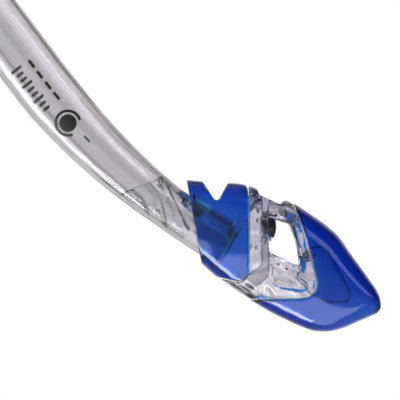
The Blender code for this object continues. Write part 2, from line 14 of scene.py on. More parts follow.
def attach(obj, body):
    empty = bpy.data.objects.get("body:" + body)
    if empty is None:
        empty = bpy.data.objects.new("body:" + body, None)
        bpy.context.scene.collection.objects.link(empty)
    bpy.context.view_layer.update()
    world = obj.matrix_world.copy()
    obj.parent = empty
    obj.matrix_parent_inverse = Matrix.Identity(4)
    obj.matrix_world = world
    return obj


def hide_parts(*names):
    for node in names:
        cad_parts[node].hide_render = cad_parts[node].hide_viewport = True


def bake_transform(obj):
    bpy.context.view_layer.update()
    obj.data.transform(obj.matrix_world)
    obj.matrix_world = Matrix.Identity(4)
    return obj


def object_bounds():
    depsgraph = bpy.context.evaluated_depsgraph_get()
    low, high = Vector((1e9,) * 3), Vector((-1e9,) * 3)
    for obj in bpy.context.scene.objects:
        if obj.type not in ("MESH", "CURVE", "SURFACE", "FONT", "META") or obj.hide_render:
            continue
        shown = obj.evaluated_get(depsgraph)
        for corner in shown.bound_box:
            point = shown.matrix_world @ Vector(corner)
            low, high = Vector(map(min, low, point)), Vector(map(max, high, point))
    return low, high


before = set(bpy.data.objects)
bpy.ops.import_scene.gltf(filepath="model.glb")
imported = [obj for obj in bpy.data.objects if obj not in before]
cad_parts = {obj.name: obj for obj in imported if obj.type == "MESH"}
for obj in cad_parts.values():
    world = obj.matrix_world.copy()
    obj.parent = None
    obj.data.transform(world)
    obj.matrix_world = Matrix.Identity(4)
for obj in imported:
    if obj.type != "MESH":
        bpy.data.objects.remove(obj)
CAD_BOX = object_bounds()

MM = 0.001
GAP = 0.3

BARREL_BOTTOM = -50.0
BEND_START = 76.0
BEND_RADIUS = 350.0
BEND_ANGLE = math.radians(23.0)
BARREL_TOP = BEND_START + BEND_RADIUS * BEND_ANGLE
BARREL_DEPTH = 32.5
BARREL_WIDTH = 24.0
TAPER_START, TAPER_END = 92.0, 178.0
WALL = 1.9
SLEEVE_BOTTOM = BARREL_TOP - 64.0
SLEEVE_TOP = BARREL_TOP - 20.8
SLEEVE_SLANT = 7.0
SLANT_FADE = 50.0
INK_LIFTS = (0.03, 0.09)

TOP_ORIGIN = (-19.4, 0.0, 190.9)
TOP_SQUARENESS = 2.7
KEEL_TAPER = 0.24
# height over the top's origin, least and greatest place across, half of the depth
TOP_STATIONS = [
    (-20.0, -16.0, 13.6, 15.6),
    (-13.0, -19.2, 14.2, 16.4),
    (0.0, -25.4, 15.2, 18.0),
    (16.0, -33.0, 16.5, 19.6),
    (27.0, -35.6, 18.7, 20.0),
    (45.0, -37.4, 20.4, 20.2),
    (60.0, -36.6, 20.8, 20.0),
    (72.0, -34.8, 20.2, 19.4),
    (86.0, -28.8, 18.6, 17.8),
    (95.0, -24.8, 14.8, 16.2),
    (101.0, -22.1, 9.6, 14.8),
    (108.0, -18.7, 0.6, 12.6),
    (112.0, -15.4, -4.8, 10.4),
    (114.0, -12.4, -7.6, 8.0),
]
GUARD_WALL = 1.9
CAP_WALL = 2.2
FRAME_WALL = 2.6
SOCKET_WALL = 2.0
SOCKET_DEPTH = 55.0
SEAT_TILT = math.radians(31.0)
SEAT_CENTRE = (-19.3, 37.8)
SEAT_WALL = 2.6
MOUTH_RADIUS = 6.6
PIVOT = (-29.2, 41.8)
PIN_RADIUS = 1.2
PIN_LENGTH = 34.4
KEEPER_HEIGHT = 22.0
KEEPER_WALL = 2.3
KEEPER_GAP = 0.4
KEEPER_BACK = BARREL_WIDTH / 2 + KEEPER_GAP + KEEPER_WALL
COLLAR_HEIGHT = 14.0
COLLAR_BORE = 10.0
SPIGOT_RADIUS = 12.0
HOSE_TOP = -64.0
HOSE_CUFF = 14.0
HOSE_BEND_RADIUS = 110.0
HOSE_BEND = math.radians(30.0)
HOSE_BORE = SPIGOT_RADIUS + GAP
HOSE_WALL = 1.8
HOSE_LENGTH = HOSE_BEND_RADIUS * HOSE_BEND + 2 * HOSE_CUFF
RIBS = 7
OUTLET_TILT = math.radians(15.0)
HOUSING_RADIUS = 15.0
HOUSING_WALL = 2.0
HOUSING_BORE = 10.2
HOUSING_BOTTOM = -42.0
OUTLET_DROP = 18.0
OUTLET_RADIUS = 11.4
OUTLET_BORE = 9.4
PURGE_SEAT_TOP = HOUSING_BOTTOM + 4.6
PURGE_SEAT_WALL = 1.8
PURGE_TRAVEL = 1.2
SHIELD_CURVE = 0.003

SEAM = [
    (-41.0, 39.5), (-24.7, 59.3), (-10.4, 72.7), (-5.6, 77.4), (-1.5, 78.6), (3.0, 77.2),
    (6.2, 73.4), (19.8, 51.0), (24.0, 44.1),
]
GUARD_OUTLINE = [
    (-27.0, -19.7), (20.0, 19.8), (21.5, 27.0), (18.8, 27.5), (14.8, 39.2), (12.9, 41.0),
    (10.3, 41.4), (6.6, 40.4), (-31.5, 18.4), (-33.3, 15.8), (-38.0, 15.0), (-38.0, 7.2),
    (-18.4, 7.7), (-17.2, 5.7), (-27.0, -13.3),
]
FRAME_ROOT = [
    (-15.0, -7.0), (14.2, 17.4), (15.8, 20.0), (17.0, 30.0), (12.0, 44.0), (-31.0, 21.0),
    (-30.0, 17.0), (-21.0, 11.0), (-15.6, 3.0),
]
SHOULDER = [(-40.0, 16.5), (-27.0, 20.8), (24.0, 20.8), (24.0, 52.0), (-40.0, 52.0)]
FRAME_OUTLINE = [
    (-33.2, 18.0), (-34.6, 20.5), (-33.8, 23.5), (-31.8, 25.2), (-33.1, 38.4), (-35.4, 38.4),
    (-37.1, 40.2), (-37.4, 43.2), (-24.5, 58.8), (-10.2, 72.2), (-5.4, 76.9), (-1.5, 78.1),
    (2.7, 76.8), (5.8, 73.1), (19.4, 50.7), (24.0, 43.2), (24.0, 28.2), (19.4, 28.2),
    (15.2, 39.5), (13.1, 41.5), (10.3, 41.9), (6.5, 40.9), (-31.6, 19.0),
]
WINDOW = [(-23.4, 35.3), (-25.7, 47.6), (-24.9, 49.2), (-10.8, 61.4), (-9.0, 60.4), (-8.0, 45.2)]
WINDOW_MOUTH = [
    (-24.0, 35.6), (-26.9, 48.2), (-26.2, 50.4), (-8.6, 69.5), (-4.9, 71.2), (-4.6, 47.8),
]
RECESS = [
    (-3.0, 50.6), (-3.2, 72.0), (-1.8, 73.8), (1.0, 73.0), (3.2, 69.2), (6.4, 60.9),
    (6.5, 55.9), (3.7, 53.4),
]
DROP = [
    (3.6, 55.4), (0.6, 56.6), (-1.0, 60.5), (-0.6, 66.0), (0.6, 68.0), (2.6, 66.4),
    (4.9, 60.6), (5.2, 57.0),
]
VALVE_ROOM = [
    (3.8, 51.7), (11.0, 48.0), (15.5, 46.5), (17.6, 50.0), (26.0, 92.0), (-36.0, 92.0),
    (-34.6, 46.5), (-33.6, 41.5), (-31.9, 39.2), (-30.5, 35.0),
]
CHAMBER = [
    (8.6, 43.0), (12.5, 36.0), (14.0, 30.0), (12.8, 26.5), (9.0, 25.6), (-27.0, 25.6),
    (-28.4, 28.5),
]
FLOAT_OUTLINE = [
    (-21.0, 63.5), (-25.3, 69.0), (-24.8, 73.0), (-16.8, 86.5), (-10.8, 96.0), (-5.5, 97.0),
    (0.5, 88.0), (2.0, 76.0), (-4.0, 66.5), (-12.0, 62.5),
]
LEVER_INNER = [
    (-27.0, 36.7), (-27.2, 38.6), (-27.0, 43.6), (-26.3, 48.6), (-20.5, 55.0), (-13.9, 61.0),
    (-13.7, 66.5),
]
LEVER_OUTER = [
    (-17.6, 67.5), (-20.2, 60.6), (-24.2, 57.4), (-29.8, 50.2), (-31.2, 43.4), (-31.0, 40.6),
    (-29.7, 37.4),
]
FLOAT_NOTCH = [(-22.0, 59.0), (-12.0, 59.0), (-12.9, 67.2), (-18.3, 68.4)]


# --- places -------------------------------------------------------------------------------


def placed(location, lean, parent=None):
    """The frame at a point in millimetres, turned about Y, inside a parent frame."""
    here = Matrix.Translation(Vector(location) * MM) @ Matrix.Rotation(lean, 4, "Y")
    return parent @ here if parent else here


def hose_centre(length):
    bend = min(max(length - HOSE_CUFF, 0.0), HOSE_BEND_RADIUS * HOSE_BEND)
    angle = bend / HOSE_BEND_RADIUS
    before = min(length, HOSE_CUFF)
    after = length - bend - before
    centre = Vector((-HOSE_BEND_RADIUS * (1 - math.cos(angle)), 0.0, HOSE_TOP - before))
    centre.z -= HOSE_BEND_RADIUS * math.sin(angle)
    centre += Vector((-math.sin(angle), 0.0, -math.cos(angle))) * after
    return centre, angle


TOP = placed(TOP_ORIGIN, -BEND_ANGLE)
SEAT = placed((SEAT_CENTRE[0], 0.0, SEAT_CENTRE[1]), -SEAT_TILT, TOP)
MOUTH = placed(hose_centre(HOSE_LENGTH)[0], HOSE_BEND)
OUTLET = placed((0.0, 0.0, -OUTLET_DROP), -(math.pi / 2 + OUTLET_TILT), MOUTH)
WORLD = Matrix.Identity(4)


# --- mesh tools ---------------------------------------------------------------------------


def raw(name, points, faces, place=WORLD):
    mesh = bpy.data.meshes.new(name)
    build = bmesh.new()
    corners = [build.verts.new(place @ (Vector(point) * MM)) for point in points]
    for face in faces:
        build.faces.new([corners[index] for index in face])
    bmesh.ops.recalc_face_normals(build, faces=build.faces)
    build.to_mesh(mesh)
    build.free()
    obj = bpy.data.objects.new(name, mesh)
    bpy.context.scene.collection.objects.link(obj)
    return obj


def skin_faces(rows, sides, closed):
    faces = []
    for row in range(rows if closed else rows - 1):
        low = row * sides
        high = ((row + 1) % rows) * sides
        for side in range(sides):
            after = (side + 1) % sides
            faces.append((low + side, low + after, high + after, high + side))
    return faces


def solid_loft(name, rings, place=WORLD):
    sides = len(rings[0])
    points = [point for ring in rings for point in ring]
    faces = skin_faces(len(rings), sides, False)
    faces.append(tuple(range(sides)))
    faces.append(tuple(range((len(rings) - 1) * sides, len(rings) * sides)))
    return raw(name, points, faces, place)


def ring_loft(name, rings, place=WORLD):
    """Rings that close on themselves, as round the wall of a tube."""
    points = [point for ring in rings for point in ring]
    return raw(name, points, skin_faces(len(rings), len(rings[0]), True), place)


def power(value, exponent):
    return math.copysign(abs(value) ** exponent, value)


def ease(t):
    return t * t * (3 - 2 * t)


def oval(half_x, half_y, sides=72, squareness=2.0, taper=0.0):
    points = []
    for side in range(sides):
        angle = 2 * math.pi * (side + 0.5) / sides
        x = power(math.cos(angle), 2 / squareness)
        y = power(math.sin(angle), 2 / squareness)
        points.append((half_x * x, half_y * y * (1 - taper * x)))
    return points


def turned(name, profile, place=WORLD, sides=72):
    """Turned about Z from (radius, height) points, and capped where the profile meets the axis."""
    rings = []
    for radius, height in profile:
        ring = oval(max(radius, 0.01), max(radius, 0.01), sides)
        rings.append([(x, y, height) for x, y in ring])
    closed = all(radius > 0 for radius, _ in profile)
    return (ring_loft if closed else solid_loft)(name, rings, place)


def cylinder(name, radius, low, high, place=WORLD, sides=72):
    return turned(name, [(0.0, low), (radius, low), (radius, high), (0.0, high)], place, sides)


def cross_rod(name, centre, radius, low, high, place=WORLD, sides=40):
    """A rod along Y through the point (x, z)."""
    ring = oval(radius, radius, sides)
    rings = [[(centre[0] + x, y, centre[1] + z) for x, z in ring] for y in (low, high)]
    return solid_loft(name, rings, place)


def plate(name, outline, low, high, place=WORLD):
    return solid_loft(name, [[(x, y, z) for x, z in outline] for y in (low, high)], place)


def block(name, low, high, place=WORLD):
    outline = [(low[0], low[2]), (high[0], low[2]), (high[0], high[2]), (low[0], high[2])]
    return plate(name, outline, low[1], high[1], place)


def rounded(outline, radius, steps=5):
    """The outline with its corners rounded, each by at most this radius."""
    result = []
    count = len(outline)
    for index, corner in enumerate(outline):
        here = Vector(corner)
        before = Vector(outline[index - 1]) - here
        after = Vector(outline[(index + 1) % count]) - here
        reach = min(radius, before.length * 0.45, after.length * 0.45)
        start = here + before.normalized() * reach
        end = here + after.normalized() * reach
        for step in range(steps + 1):
            t = step / steps
            point = start * (1 - t) ** 2 + here * 2 * t * (1 - t) + end * t**2
            result.append((point.x, point.y))
    return result


def settle(obj):
    """Applies the object's modifiers to its mesh."""
    depsgraph = bpy.context.evaluated_depsgraph_get()
    mesh = bpy.data.meshes.new_from_object(obj.evaluated_get(depsgraph))
    old = obj.data
    obj.modifiers.clear()
    obj.data = mesh
    bpy.data.meshes.remove(old)
    return obj


def boolean(obj, others, operation):
    for other in others:
        modifier = obj.modifiers.new(operation.lower(), "BOOLEAN")
        modifier.operation = operation
        modifier.solver = "EXACT"
        modifier.object = other
    settle(obj)
    for other in others:
        mesh = other.data
        bpy.data.objects.remove(other)
        bpy.data.meshes.remove(mesh)
    return obj


def cut(obj, *others):
    return boolean(obj, others, "DIFFERENCE")


def join(obj, *others):
    return boolean(obj, others, "UNION")


def common(obj, *others):
    return boolean(obj, others, "INTERSECT")


def soften(obj, passes, voxel=0.45):
    """Remeshes a solid evenly and smooths it, which rounds its edges as a mould does."""
    remesh = obj.modifiers.new("even", "REMESH")
    remesh.mode = "VOXEL"
    remesh.voxel_size = voxel * MM
    smooth = obj.modifiers.new("smooth", "SMOOTH")
    smooth.factor = 0.5
    smooth.iterations = passes
    return settle(obj)


def piece(obj, material, body, slot, *nodes, sharp=None):
    """Finishes a piece: its shading, material, the body it rides on and the nodes it stands for."""
    mesh = obj.data
    mesh.materials.clear()
    mesh.materials.append(material)
    mesh.shade_smooth()
    if sharp is not None:
        mesh.set_sharp_from_angle(angle=math.radians(sharp))
    if body:
        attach(obj, body)
    if nodes:
        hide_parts(*nodes)
    return obj


def read_table(table, key, column):
    """Smooth value of a column of the table at this key, with no overshoot between rows."""
    rows = [(row[0], row[column]) for row in table]
    if key <= rows[0][0]:
        return rows[0][1]
    if key >= rows[-1][0]:
        return rows[-1][1]
    place = max(i for i in range(len(rows) - 1) if rows[i][0] <= key)

    def chord(i):
        return (rows[i + 1][1] - rows[i][1]) / (rows[i + 1][0] - rows[i][0])

    def slope(i):
        if i == 0 or i == len(rows) - 1:
            return chord(min(i, len(rows) - 2))
        before, after = chord(i - 1), chord(i)
        return 0.0 if before * after <= 0 else 2 * before * after / (before + after)

    (key_0, value_0), (key_1, value_1) = rows[place], rows[place + 1]
    span = key_1 - key_0
    t = (key - key_0) / span
    rise = (value_1 - value_0) * (3 * t**2 - 2 * t**3)
    bend = slope(place) * (t**3 - 2 * t**2 + t) + slope(place + 1) * (t**3 - t**2)
    return value_0 + rise + span * bend


# --- materials ----------------------------------------------------------------------------


class Nodes:
    """A node tree that is built by calls; most give back the new node's output."""

    def __init__(self, tree):
        self.nodes = tree.nodes
        self.links = tree.links

    def give(self, socket, value):
        if isinstance(value, bpy.types.NodeSocket):
            self.links.new(value, socket)
        else:
            socket.default_value = value

    def node(self, kind, output, **values):
        """Names in lower case are the node's properties, the others its inputs."""
        node = self.nodes.new("ShaderNode" + kind)
        for name, value in values.items():
            if name.islower():
                setattr(node, name, value)
            else:
                self.give(node.inputs[name.replace("_", " ")], value)
        return node.outputs[output]

    def math(self, operation, first, second=0.0):
        node = self.nodes.new("ShaderNodeMath")
        node.operation = operation
        self.give(node.inputs[0], first)
        self.give(node.inputs[1], second)
        return node.outputs["Value"]

    def parts(self, vector):
        """The vector's x, y and z."""
        return self.node("SeparateXYZ", "X", Vector=vector).node.outputs

    def ranged(self, value, low, high, start=0.3, end=0.7, kind="LINEAR"):
        """The value, with the range from start to end turned into low to high."""
        return self.node(
            "MapRange", "Result", interpolation_type=kind, Value=value,
            From_Min=start, From_Max=end, To_Min=low, To_Max=high,
        )

    def seen_or_not(self, unseen, seen):
        """One shader for what the light reaches, and another for what the camera sees."""
        node = self.nodes.new("ShaderNodeMixShader")
        self.give(node.inputs["Fac"], self.node("LightPath", "Is Camera Ray"))
        self.give(node.inputs[1], unseen)
        self.give(node.inputs[2], seen)
        return node.outputs["Shader"]


class Shader(Nodes):
    """A Principled material with a few procedural layers on it. Its lengths are in metres."""

    def __init__(self, name, **values):
        self.material = bpy.data.materials.new(name)
        self.material.use_nodes = True
        super().__init__(self.material.node_tree)
        self.output = self.nodes["Material Output"]
        self.shader = self.nodes["Principled BSDF"]
        self.place = self.node("TexCoord", "Object")
        self.put(**values)

    def put(self, **values):
        """Set or link inputs of the Principled shader."""
        for name, value in values.items():
            self.give(self.shader.inputs[name.replace("_", " ")], value)

    def across_barrel(self):
        """Where a point lies in the barrel's section, with nothing for where it lies along it."""
        x, y, z = self.parts(self.place)
        rise = self.math("MAXIMUM", self.math("SUBTRACT", z, BEND_START * MM), 0.0)
        run = self.math("ADD", x, BEND_RADIUS * MM)
        run_squared = self.math("MULTIPLY", run, run)
        rise_squared = self.math("MULTIPLY", rise, rise)
        from_centre = self.math("SQRT", self.math("ADD", run_squared, rise_squared))
        depth = self.math("SUBTRACT", from_centre, BEND_RADIUS * MM)
        return self.node("CombineXYZ", "Vector", X=depth, Y=y)

    def noise(self, scale, detail=3.0, stretch=(1.0, 1.0, 1.0), distortion=0.0, vector=None):
        place = self.node("Mapping", "Vector", Vector=vector or self.place, Scale=stretch)
        return self.node(
            "TexNoise", "Fac", Vector=place, Scale=scale, Detail=detail, Distortion=distortion
        )

    def roughness(self, value, low, high):
        self.put(Roughness=self.ranged(value, low, high))

    def ramp(self, value, stops):
        """A colour that runs through (place, colour) stops."""
        colour = self.node("ValToRGB", "Color", Fac=value)
        elements = colour.node.color_ramp.elements
        elements[0].position, elements[-1].position = stops[0][0], stops[-1][0]
        for place, _ in stops[1:-1]:
            elements.new(place)
        for element, (_, tint) in zip(elements, stops):
            element.color = (*tint, 1.0)
        return colour

    def colours(self, value, low, high):
        self.put(Base_Color=self.ramp(value, [(0.32, low), (0.68, high)]))

    def paint_shade(self, colour):
        """Multiply the base colour's texture by another; it is used to paint shade into a colour.
        """
        base = self.shader.inputs["Base Color"].links[0].from_socket
        node = self.nodes.new("ShaderNodeMix")
        node.data_type = "RGBA"
        node.blend_type = "MULTIPLY"
        for name, value in {"Factor": 1.0, "A": base, "B": colour}.items():
            self.give(node.inputs[name], value)
        self.put(Base_Color=node.outputs["Result"])

    def bump(self, *layers):
        """Each layer is a height texture and its depth."""
        normal = None
        for height, depth in layers:
            below = {"Normal": normal} if normal else {}
            normal = self.node(
                "Bump", "Normal", Strength=1.0, Distance=depth, Height=height, **below
            )
        self.put(Normal=normal)

    def depth_tint(self, colour, density):
        volume = self.node("VolumeAbsorption", "Volume", Color=(*colour, 1.0), Density=density)
        self.links.new(volume, self.output.inputs["Volume"])


def clear_plastic(
    name, tint, density, ripple, low=(0.93, 0.93, 0.95), high=(0.99, 0.99, 1.0), index=1.46
):
    """Moulded clear plastic: faint flow waves in its surface and a light haze of handling."""
    made = Shader(name, Transmission_Weight=1.0, IOR=index, Metallic=0.0)
    haze = made.noise(90.0, 4.0, (1.0, 1.0, 0.35))
    made.colours(haze, low, high)
    made.roughness(made.noise(160.0, 5.0), 0.02, 0.07)
    flow = made.noise(38.0, 2.0, (1.0, 1.0, 0.25), 0.4)
    swirl = made.noise(75.0, 0.4, distortion=0.8)
    made.bump((flow, 0.0006), (swirl, ripple), (made.noise(900.0, 2.0), 0.000006))
    made.depth_tint(tint, density)
    return made.material


# place across the barrel, and how far painted shade darkens the tube's colour there, for the dark
# streaks of its lighting (1.0 is no shade)
BAND_REACH = 16.0
PAINTED_SHADE_BANDS = [
    (-BAND_REACH, 1.0),
    (-13.0, 0.93),
    (-10.8, 0.88),
    (-8.2, 1.0),
    (-5.0, 0.88),
    (-1.0, 0.79),
    (2.7, 0.88),
    (4.8, 0.9),
    (7.4, 0.64),
    (9.6, 0.96),
    (BAND_REACH, 1.0),
]


def tube_plastic_with_painted_shade():
    """Clear plastic with the fine lines that drawing leaves along the barrel, and bands of painted
    shade across it for the dark streaks of its lighting.
    """
    made = Shader("clear_tube", Transmission_Weight=1.0, IOR=1.46, Metallic=0.0)
    across = made.across_barrel()
    lines = made.noise(150.0, 3.0, vector=across)
    made.colours(lines, (0.88, 0.87, 0.89), (1.0, 1.0, 1.0))
    reach = BAND_REACH * MM
    share = made.ranged(made.parts(across)["X"], 0.0, 1.0, -reach, reach)
    stops = []
    # Each band's value is painted shade: the factor that darkens the tube's colour there.
    for place, clear in PAINTED_SHADE_BANDS:
        stops.append(((place + BAND_REACH) / (2 * BAND_REACH), (clear, clear * 0.995, clear)))
    # The bands multiply into the tube's colour as painted shade for the dark streaks of its
    # lighting.
    made.paint_shade(made.ramp(share, stops))
    made.roughness(made.noise(160.0, 5.0), 0.025, 0.075)
    waves = made.noise(38.0, 2.0, (1.0, 1.0, 0.25), 0.4)
    made.bump((lines, 0.0011), (waves, 0.00005), (made.noise(900.0, 2.0), 0.000006))
    made.depth_tint((0.45, 0.41, 0.47), 75.0)
    return made.material


def moulded_sleeve():
    """Clear plastic with raised, looping mould lines."""
    made = Shader("clear_sleeve", Transmission_Weight=1.0, IOR=1.36, Metallic=0.0)
    made.colours(made.noise(90.0, 4.0), (0.97, 0.97, 0.98), (1.0, 1.0, 1.0))
    waves = made.node(
        "TexWave", "Fac", wave_profile="TRI", Vector=made.place,
        Scale=24.0, Distortion=14.0, Detail=0.0, Detail_Scale=0.9,
    )
    line = made.ranged(waves, 0.0, 1.0, 0.84, 0.97)
    made.put(Roughness=made.ranged(line, 0.03, 0.45, 0.0, 1.0))
    made.bump((line, 0.0016), (made.noise(45.0, 2.0), 0.0006))
    made.depth_tint((0.6, 0.5, 0.75), 12.0)
    return made.material


def blue_plastic():
    made = Shader("blue_tinted_plastic", Transmission_Weight=1.0, IOR=1.45, Metallic=0.0)
    flow = made.noise(42.0, 3.0, (1.0, 1.0, 0.5), 0.8)
    made.colours(flow, (0.84, 0.86, 1.0), (0.97, 0.97, 1.0))
    made.roughness(made.noise(170.0, 5.0), 0.04, 0.12)
    made.bump((flow, 0.0003), (made.noise(1100.0, 2.0), 0.000005))
    made.depth_tint((0.02, 0.66, 0.905), 1800.0)
    return made.material


def black_rubber(name, low, high, rough, grain=1500.0):
    made = Shader(name, Metallic=0.0)
    made.colours(made.noise(220.0, 5.0), low, high)
    made.roughness(made.noise(300.0, 4.0), rough, rough + 0.14)
    made.bump((made.noise(grain, 3.0), 0.00003))
    return made.material


def silicone():
    made = Shader("clear_silicone", Transmission_Weight=0.3, IOR=1.41, Metallic=0.0)
    made.put(Subsurface_Weight=0.4, Subsurface_Scale=0.005)
    made.colours(made.noise(60.0, 4.0), (0.6, 0.65, 0.71), (0.72, 0.76, 0.81))
    made.roughness(made.noise(240.0, 5.0), 0.32, 0.46)
    made.bump((made.noise(1300.0, 3.0), 0.00002))
    return made.material


def brushed_pin():
    made = Shader("pin_steel", Metallic=1.0)
    grain = made.noise(1400.0, 3.0, (1.0, 0.05, 1.0))
    made.colours(grain, (0.5, 0.51, 0.53), (0.7, 0.71, 0.73))
    made.roughness(grain, 0.18, 0.32)
    made.bump((grain, 0.00001))
    return made.material


CLEAR_TUBE = tube_plastic_with_painted_shade()
CLEAR_FRAME = clear_plastic(
    "clear_frame", (0.56, 0.51, 0.66), 45.0, 0.005, (0.8, 0.79, 0.83), (0.89, 0.88, 0.91)
)
CLEAR_SOCKET = clear_plastic("clear_socket", (0.6, 0.55, 0.7), 8.0, 0.0002, index=1.3)
CLEAR_HOUSING = clear_plastic("clear_housing", (0.6, 0.55, 0.7), 40.0, 0.0002)
CLEAR_FLOAT = clear_plastic("clear_float", (0.6, 0.65, 0.85), 60.0, 0.0003)
CLEAR_SLEEVE = moulded_sleeve()
BLUE = blue_plastic()
RUBBER = black_rubber("seal_rubber", (0.012, 0.012, 0.014), (0.03, 0.03, 0.034), 0.34)
BLACK = black_rubber("buckle_plastic", (0.014, 0.014, 0.016), (0.026, 0.026, 0.03), 0.42, 2200.0)
INK = black_rubber("print_ink", (0.006, 0.006, 0.007), (0.016, 0.015, 0.016), 0.38, 2600.0)
SILICONE = silicone()
STEEL = brushed_pin()


# --- barrel -------------------------------------------------------------------------------


def barrel_frame(length):
    angle = max(0.0, length - BEND_START) / BEND_RADIUS
    height = min(length, BEND_START) + BEND_RADIUS * math.sin(angle)
    return Vector((-BEND_RADIUS * (1 - math.cos(angle)), 0.0, height)), angle


def barrel_half_depth(length):
    share = min(1.0, max(0.0, (length - TAPER_START) / (TAPER_END - TAPER_START)))
    return (BARREL_DEPTH + (BARREL_WIDTH - BARREL_DEPTH) * share) / 2


def barrel_ring(length, inset=0.0, slant=0.0, sides=96):
    """A ring on the barrel's surface or inside it; slant tips it along the barrel."""
    half = barrel_half_depth(length)
    ring = []
    for x, y in oval(half - inset, BARREL_WIDTH / 2 - inset, sides):
        centre, angle = barrel_frame(length + slant * x / half)
        across = Vector((math.cos(angle), 0.0, math.sin(angle)))
        ring.append(centre + across * x + Vector((0.0, y, 0.0)))
    return ring


def spread(low, high, count):
    return [low + (high - low) * i / (count - 1) for i in range(count)]


def make_tube():
    lengths = [BARREL_BOTTOM + 0.3, *spread(BARREL_BOTTOM + 2.0, BARREL_TOP - 0.4, 70)]
    outer = [barrel_ring(s) for s in lengths]
    inner = [barrel_ring(s, WALL) for s in lengths]
    lip_low = [barrel_ring(BARREL_BOTTOM, inset) for inset in (WALL - 0.3, 0.3)]
    lip_high = [barrel_ring(BARREL_TOP, inset) for inset in (0.3, WALL - 0.3)]
    tube = ring_loft("tube_wall", outer + lip_high + inner[::-1] + lip_low)
    piece(tube, CLEAR_TUBE, "barrel", "clear_plastic", "main_tube")


def make_sleeve():
    """The sleeve in the barrel's upper end, with a slanted lower edge and grooves round it."""
    tall = SLEEVE_TOP - SLEEVE_BOTTOM
    skin = WALL + GAP
    groove, inside = skin + 0.35, skin + 1.2
    # distance from the lower end, inset of the outer wall, inset of the inner wall
    profile = [
        (0.0, skin + 0.5, skin + 0.9),
        (0.5, skin, inside),
        (9.0, skin, inside),
        (10.0, groove, inside),
        (19.0, groove, inside),
        (20.0, skin, inside),
        (22.5, skin, inside),
        (23.5, groove, inside),
        (30.0, groove, inside),
        (31.0, skin, inside),
        (tall, skin, inside),
    ]
    rows = []
    for start, end in zip(profile, profile[1:]):
        steps = max(1, int((end[0] - start[0]) / 2.0))
        for step in range(steps):
            t = step / steps
            rows.append([a + (b - a) * t for a, b in zip(start, end)])
    rows.append(profile[-1])
    outer, inner = [], []
    for distance, out_inset, in_inset in rows:
        slant = SLEEVE_SLANT * max(0.0, 1.0 - distance / SLANT_FADE)
        length = SLEEVE_BOTTOM + SLEEVE_SLANT + distance * (tall - SLEEVE_SLANT) / tall
        outer.append(barrel_ring(length, out_inset, -slant))
        inner.append(barrel_ring(length, in_inset, -slant))
    sleeve = ring_loft("inner_sleeve", outer + inner[::-1])
    piece(sleeve, CLEAR_SLEEVE, "barrel", "clear_plastic", "coupling_sleeve", sharp=40)


def barrel_point(length, offset, lift):
    """A point on the barrel's -Y side, this far across its face and above its surface."""
    centre, angle = barrel_frame(length)
    half, wide = barrel_half_depth(length), BARREL_WIDTH / 2
    x = max(-0.999, min(0.999, offset / half))
    y = -wide * math.sqrt(1 - x * x)
    normal = Vector((x / half, y / wide**2, 0.0)).normalized()
    across = Vector((math.cos(angle), 0.0, math.sin(angle)))
    point = Vector((offset, y, 0.0)) + normal * lift
    return centre + across * point.x + Vector((0.0, point.y, 0.0))


def ink_patch(name, lower, upper, columns, rows=8):
    """A thin layer of ink between two curves of (length, offset) points, given by t from 0 to 1."""
    points, faces = [], []
    stride = rows + 1
    for lift in INK_LIFTS:
        for column in range(columns + 1):
            t = column / columns
            low, high = Vector(lower(t)), Vector(upper(t))
            for row in range(stride):
                spot = low.lerp(high, row / rows)
                points.append(barrel_point(spot.x, spot.y, lift))
    layer = (columns + 1) * stride
    for column in range(columns):
        for row in range(rows):
            a = column * stride + row
            quad = (a, a + 1, a + stride + 1, a + stride)
            faces.append(quad)
            faces.append(tuple(layer + index for index in quad))
    rim = [column * stride for column in range(columns + 1)]
    rim += [columns * stride + row for row in range(1, stride)]
    rim += [column * stride + rows for column in range(columns - 1, -1, -1)]
    rim += list(range(rows - 1, 0, -1))
    for here, there in zip(rim, rim[1:] + rim[:1]):
        faces.append((here, there, layer + there, layer + here))
    return raw(name, points, faces)


def ink_bar(name, length, offset, half_length, half_offset):
    """A bar of ink with rounded ends."""

    def edge(sign):
        def at(t):
            along = (2 * t - 1) * half_length
            corner = min(half_length, half_offset) * 0.8
            inside = max(0.0, abs(along) - (half_length - corner))
            drop = corner - math.sqrt(max(0.0, corner**2 - inside**2))
            return length + along, offset + sign * (half_offset - drop)

        return at

    return ink_patch(name, edge(-1), edge(1), 14)


def make_print():
    """A plain mark on the barrel: a ring and dot, and two rows of ticks."""
    shapes = []
    centre, radius = (107.5, 2.6), 7.4

    def arc(inner, outer, start, end):
        def at(r):
            def point(t):
                angle = start + (end - start) * t
                return centre[0] + r * math.cos(angle), centre[1] + r * math.sin(angle)

            return point

        return ink_patch("ink", at(inner), at(outer), 40)

    shapes.append(arc(radius - 1.5, radius, 0.35, 5.2))
    shapes.append(arc(0.02, radius - 2.6, 0.0, 2 * math.pi - 0.001))
    for index in range(9):
        tall = 3.4 if index % 3 == 0 else 2.2
        shapes.append(ink_bar("ink", 67.5 + index * 3.3, 6.2, 0.75, tall))
    for index in range(4):
        shapes.append(ink_bar("ink", 70.0 + index * 7.4, -2.4, 2.6, 0.85))
    shapes.append(ink_bar("ink", 121.0, 1.0, 2.4, 0.5))
    mark = shapes[0]
    build = bmesh.new()
    for shape in shapes:
        build.from_mesh(shape.data)
    build.to_mesh(mark.data)
    build.free()
    for shape in shapes[1:]:
        bpy.data.objects.remove(shape)
    mark.name = "printed_mark"
    piece(mark, INK, "barrel", "black_plastic", sharp=60)


# --- dry top ------------------------------------------------------------------------------


def top_ring(w, inset):
    least = read_table(TOP_STATIONS, w, 1) + inset
    most = read_table(TOP_STATIONS, w, 2) - inset
    half = read_table(TOP_STATIONS, w, 3) - inset
    section = oval((most - least) / 2, half, 112, TOP_SQUARENESS, KEEL_TAPER)
    return [((least + most) / 2 + x, y, w) for x, y in section]


